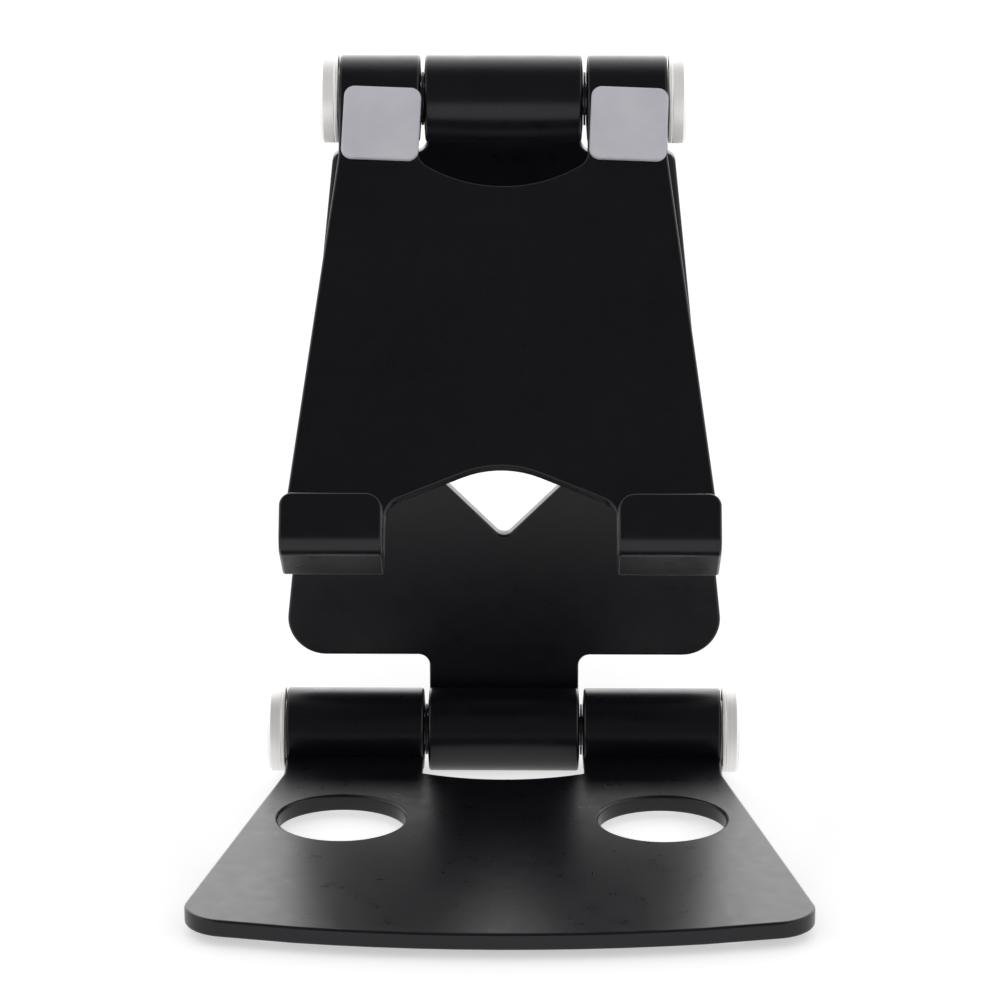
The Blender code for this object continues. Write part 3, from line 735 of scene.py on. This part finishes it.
def make_pads():
    tilt = Matrix.Rotation(-PHONE_PAD_TURN, 4, "Z")
    for side, word in ((-1, "left"), (1, "right")):
        on_holder = (side * PHONE_PAD_U + PHONE_PAD_SHIFT, -BARREL_R - REST_GAP, -PHONE_PAD_V)
        place = HOLDER_FRAME @ Matrix.Translation(on_holder) @ FACING_FRONT @ tilt
        make_pad(f"phone_pad_{word}", "holder", place, PHONE_PAD, PHONE_PAD_R, PHONE_PAD_RIM)
        in_hook = (side * (HOOK_IN + HOOK_OUT) / 2, -BARREL_R - HOOK_PAD_FORWARD,
                   SHEET - FLOOR_V + REST_GAP)
        place = HOLDER_FRAME @ Matrix.Translation(in_hook)
        make_pad(f"hook_pad_{word}", "holder", place, HOOK_PAD, HOOK_PAD_R, PAD_RIM)
        make_foot("front", word)
        make_foot("rear", word)


def finish_hardware():
    """The pieces inside the hinges stay the CAD's, with worked metal and plastic surfaces."""
    slots = {entry["node"]: entry["material_slot"] for entry in frame["record"]["subparts"]}
    for name, obj in frame["nodes"].items():
        if not obj.hide_render:
            obj.data.materials.clear()
            obj.data.materials.append(MATERIAL[slots[name]])


# ---------------------------------------------------------------- stage

def make_floor():
    bm = bmesh.new()
    bmesh.ops.create_grid(bm, x_segments=8, y_segments=8, size=FLOOR_HALF)
    mesh = bpy.data.meshes.new("floor")
    bm.to_mesh(mesh)
    bm.free()
    floor = new_object("floor", mesh)
    floor.data.materials.append(floor_paper())


def add_panel(name, location, target, size, energy):
    """A soft light that shows in no reflection."""
    light = bpy.data.lights.new(name, "AREA")
    light.shape = "RECTANGLE"
    light.size, light.size_y = size
    light.energy = energy
    obj = bpy.data.objects.new(name, light)
    bpy.context.scene.collection.objects.link(obj)
    obj.location = location
    obj.rotation_euler = (Vector(target) - Vector(location)).to_track_quat("-Z", "Y").to_euler()
    obj.visible_glossy = False


def make_world():
    """A studio that is bright behind and at both sides, and dark in front above the camera.

    Glossy surfaces mirror that; matt ones, such as the floor, are lit evenly from all round.
    """
    world = bpy.data.worlds.new("studio")
    world.use_nodes = True
    nodes = world.node_tree.nodes
    links = world.node_tree.links
    split = nodes.new("ShaderNodeSeparateXYZ")
    links.new(nodes.new("ShaderNodeTexCoord").outputs["Generated"], split.inputs[0])
    backdrop = spread(nodes, links, split.outputs["Y"], 0.14, 2.7, 0.05, 0.85)
    sideways = nodes.new("ShaderNodeMath")
    sideways.operation = "ABSOLUTE"
    links.new(split.outputs["X"], sideways.inputs[0])
    sides = spread(nodes, links, sideways.outputs[0], 0.0, 1.5, 0.35, 0.8)
    level = nodes.new("ShaderNodeMath")
    level.operation = "MAXIMUM"
    links.new(backdrop, level.inputs[0])
    links.new(sides, level.inputs[1])
    even = nodes.new("ShaderNodeMix")
    even.inputs["B"].default_value = 0.78
    links.new(nodes.new("ShaderNodeLightPath").outputs["Is Diffuse Ray"], even.inputs["Factor"])
    links.new(level.outputs[0], even.inputs["A"])
    nodes["Background"].inputs["Color"].default_value = (1.0, 1.0, 1.0, 1.0)
    links.new(even.outputs["Result"], nodes["Background"].inputs["Strength"])
    bpy.context.scene.world = world


def make_lights():
    middle = (0, 0, 0.05)
    add_panel("top_panel", (0, 0.1, 1.1), middle, (1.6, 1.6), 1.0)
    add_panel("front_panel", (0, -1.0, 0.9), middle, (1.2, 0.8), 2.5)


def make_camera():
    """A little above the stand, looking down on it."""
    camera = bpy.data.cameras.new("camera")
    camera.lens = CAMERA_LENS
    camera.sensor_width = CAMERA_SENSOR
    obj = bpy.data.objects.new("camera", camera)
    bpy.context.scene.collection.objects.link(obj)
    obj.location = LOWER_AXIS + CAMERA_FROM_HINGE
    obj.rotation_euler = (math.pi / 2 - CAMERA_DOWN, CAMERA_ROLL, CAMERA_PAN)
    bpy.context.scene.camera = obj
    bpy.context.scene.view_settings.view_transform = "Standard"


make_base()
make_arm()
make_holder()
for hinge_body, level in (("base", "lower"), ("holder", "upper")):
    for word in ("left", "right"):
        make_cap(f"{level}_cap_{word}", hinge_body)
make_pads()
finish_hardware()
make_floor()
make_world()
make_lights()
make_camera()
